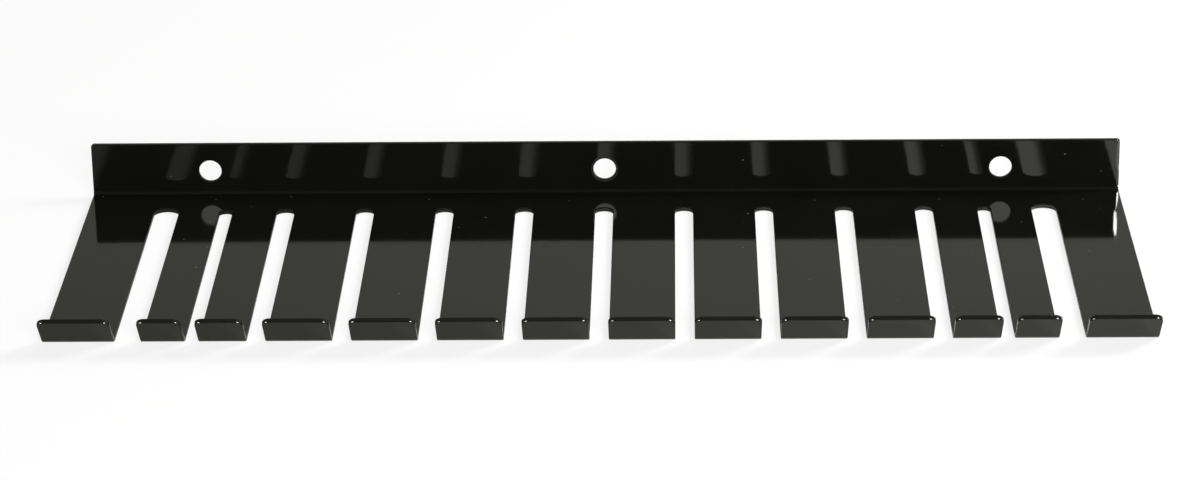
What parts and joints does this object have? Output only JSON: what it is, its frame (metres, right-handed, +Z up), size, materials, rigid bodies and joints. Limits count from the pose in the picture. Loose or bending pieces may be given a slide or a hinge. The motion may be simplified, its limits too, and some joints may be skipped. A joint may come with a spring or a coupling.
{
  "type": "test lead rack",
  "caption": "Wall rack for test leads: a folded black sheet-metal shelf slotted into a comb of tines with upturned lips, and a drilled wall flange.",
  "frame": {"origin": "centre of the middle wall hole, on the face that lies against the wall", "axes": "+X along the wall to the right as seen from the front, +Y into the wall, +Z up; the tines reach out along -Y"},
  "size_m": [0.33, 0.1276, 0.0186],
  "materials": {
    "black_gloss_coat": "gloss black paint on folded steel sheet"
  },
  "bodies": {
    "root": {"back_flange": "black_gloss_coat", "back_fold": "black_gloss_coat", "slot_root_strip": "black_gloss_coat", "tine_01": "black_gloss_coat", "tine_02": "black_gloss_coat", "tine_03": "black_gloss_coat", "tine_04": "black_gloss_coat", "tine_05": "black_gloss_coat", "tine_06": "black_gloss_coat", "tine_07": "black_gloss_coat", "tine_08": "black_gloss_coat", "tine_09": "black_gloss_coat", "tine_10": "black_gloss_coat", "tine_11": "black_gloss_coat", "tine_12": "black_gloss_coat", "tine_13": "black_gloss_coat", "tine_14": "black_gloss_coat", "lip_01": "black_gloss_coat", "lip_02": "black_gloss_coat", "lip_03": "black_gloss_coat", "lip_04": "black_gloss_coat", "lip_05": "black_gloss_coat", "lip_06": "black_gloss_coat", "lip_07": "black_gloss_coat", "lip_08": "black_gloss_coat", "lip_09": "black_gloss_coat", "lip_10": "black_gloss_coat", "lip_11": "black_gloss_coat", "lip_12": "black_gloss_coat", "lip_13": "black_gloss_coat", "lip_14": "black_gloss_coat"}
  },
  "joints": []
}
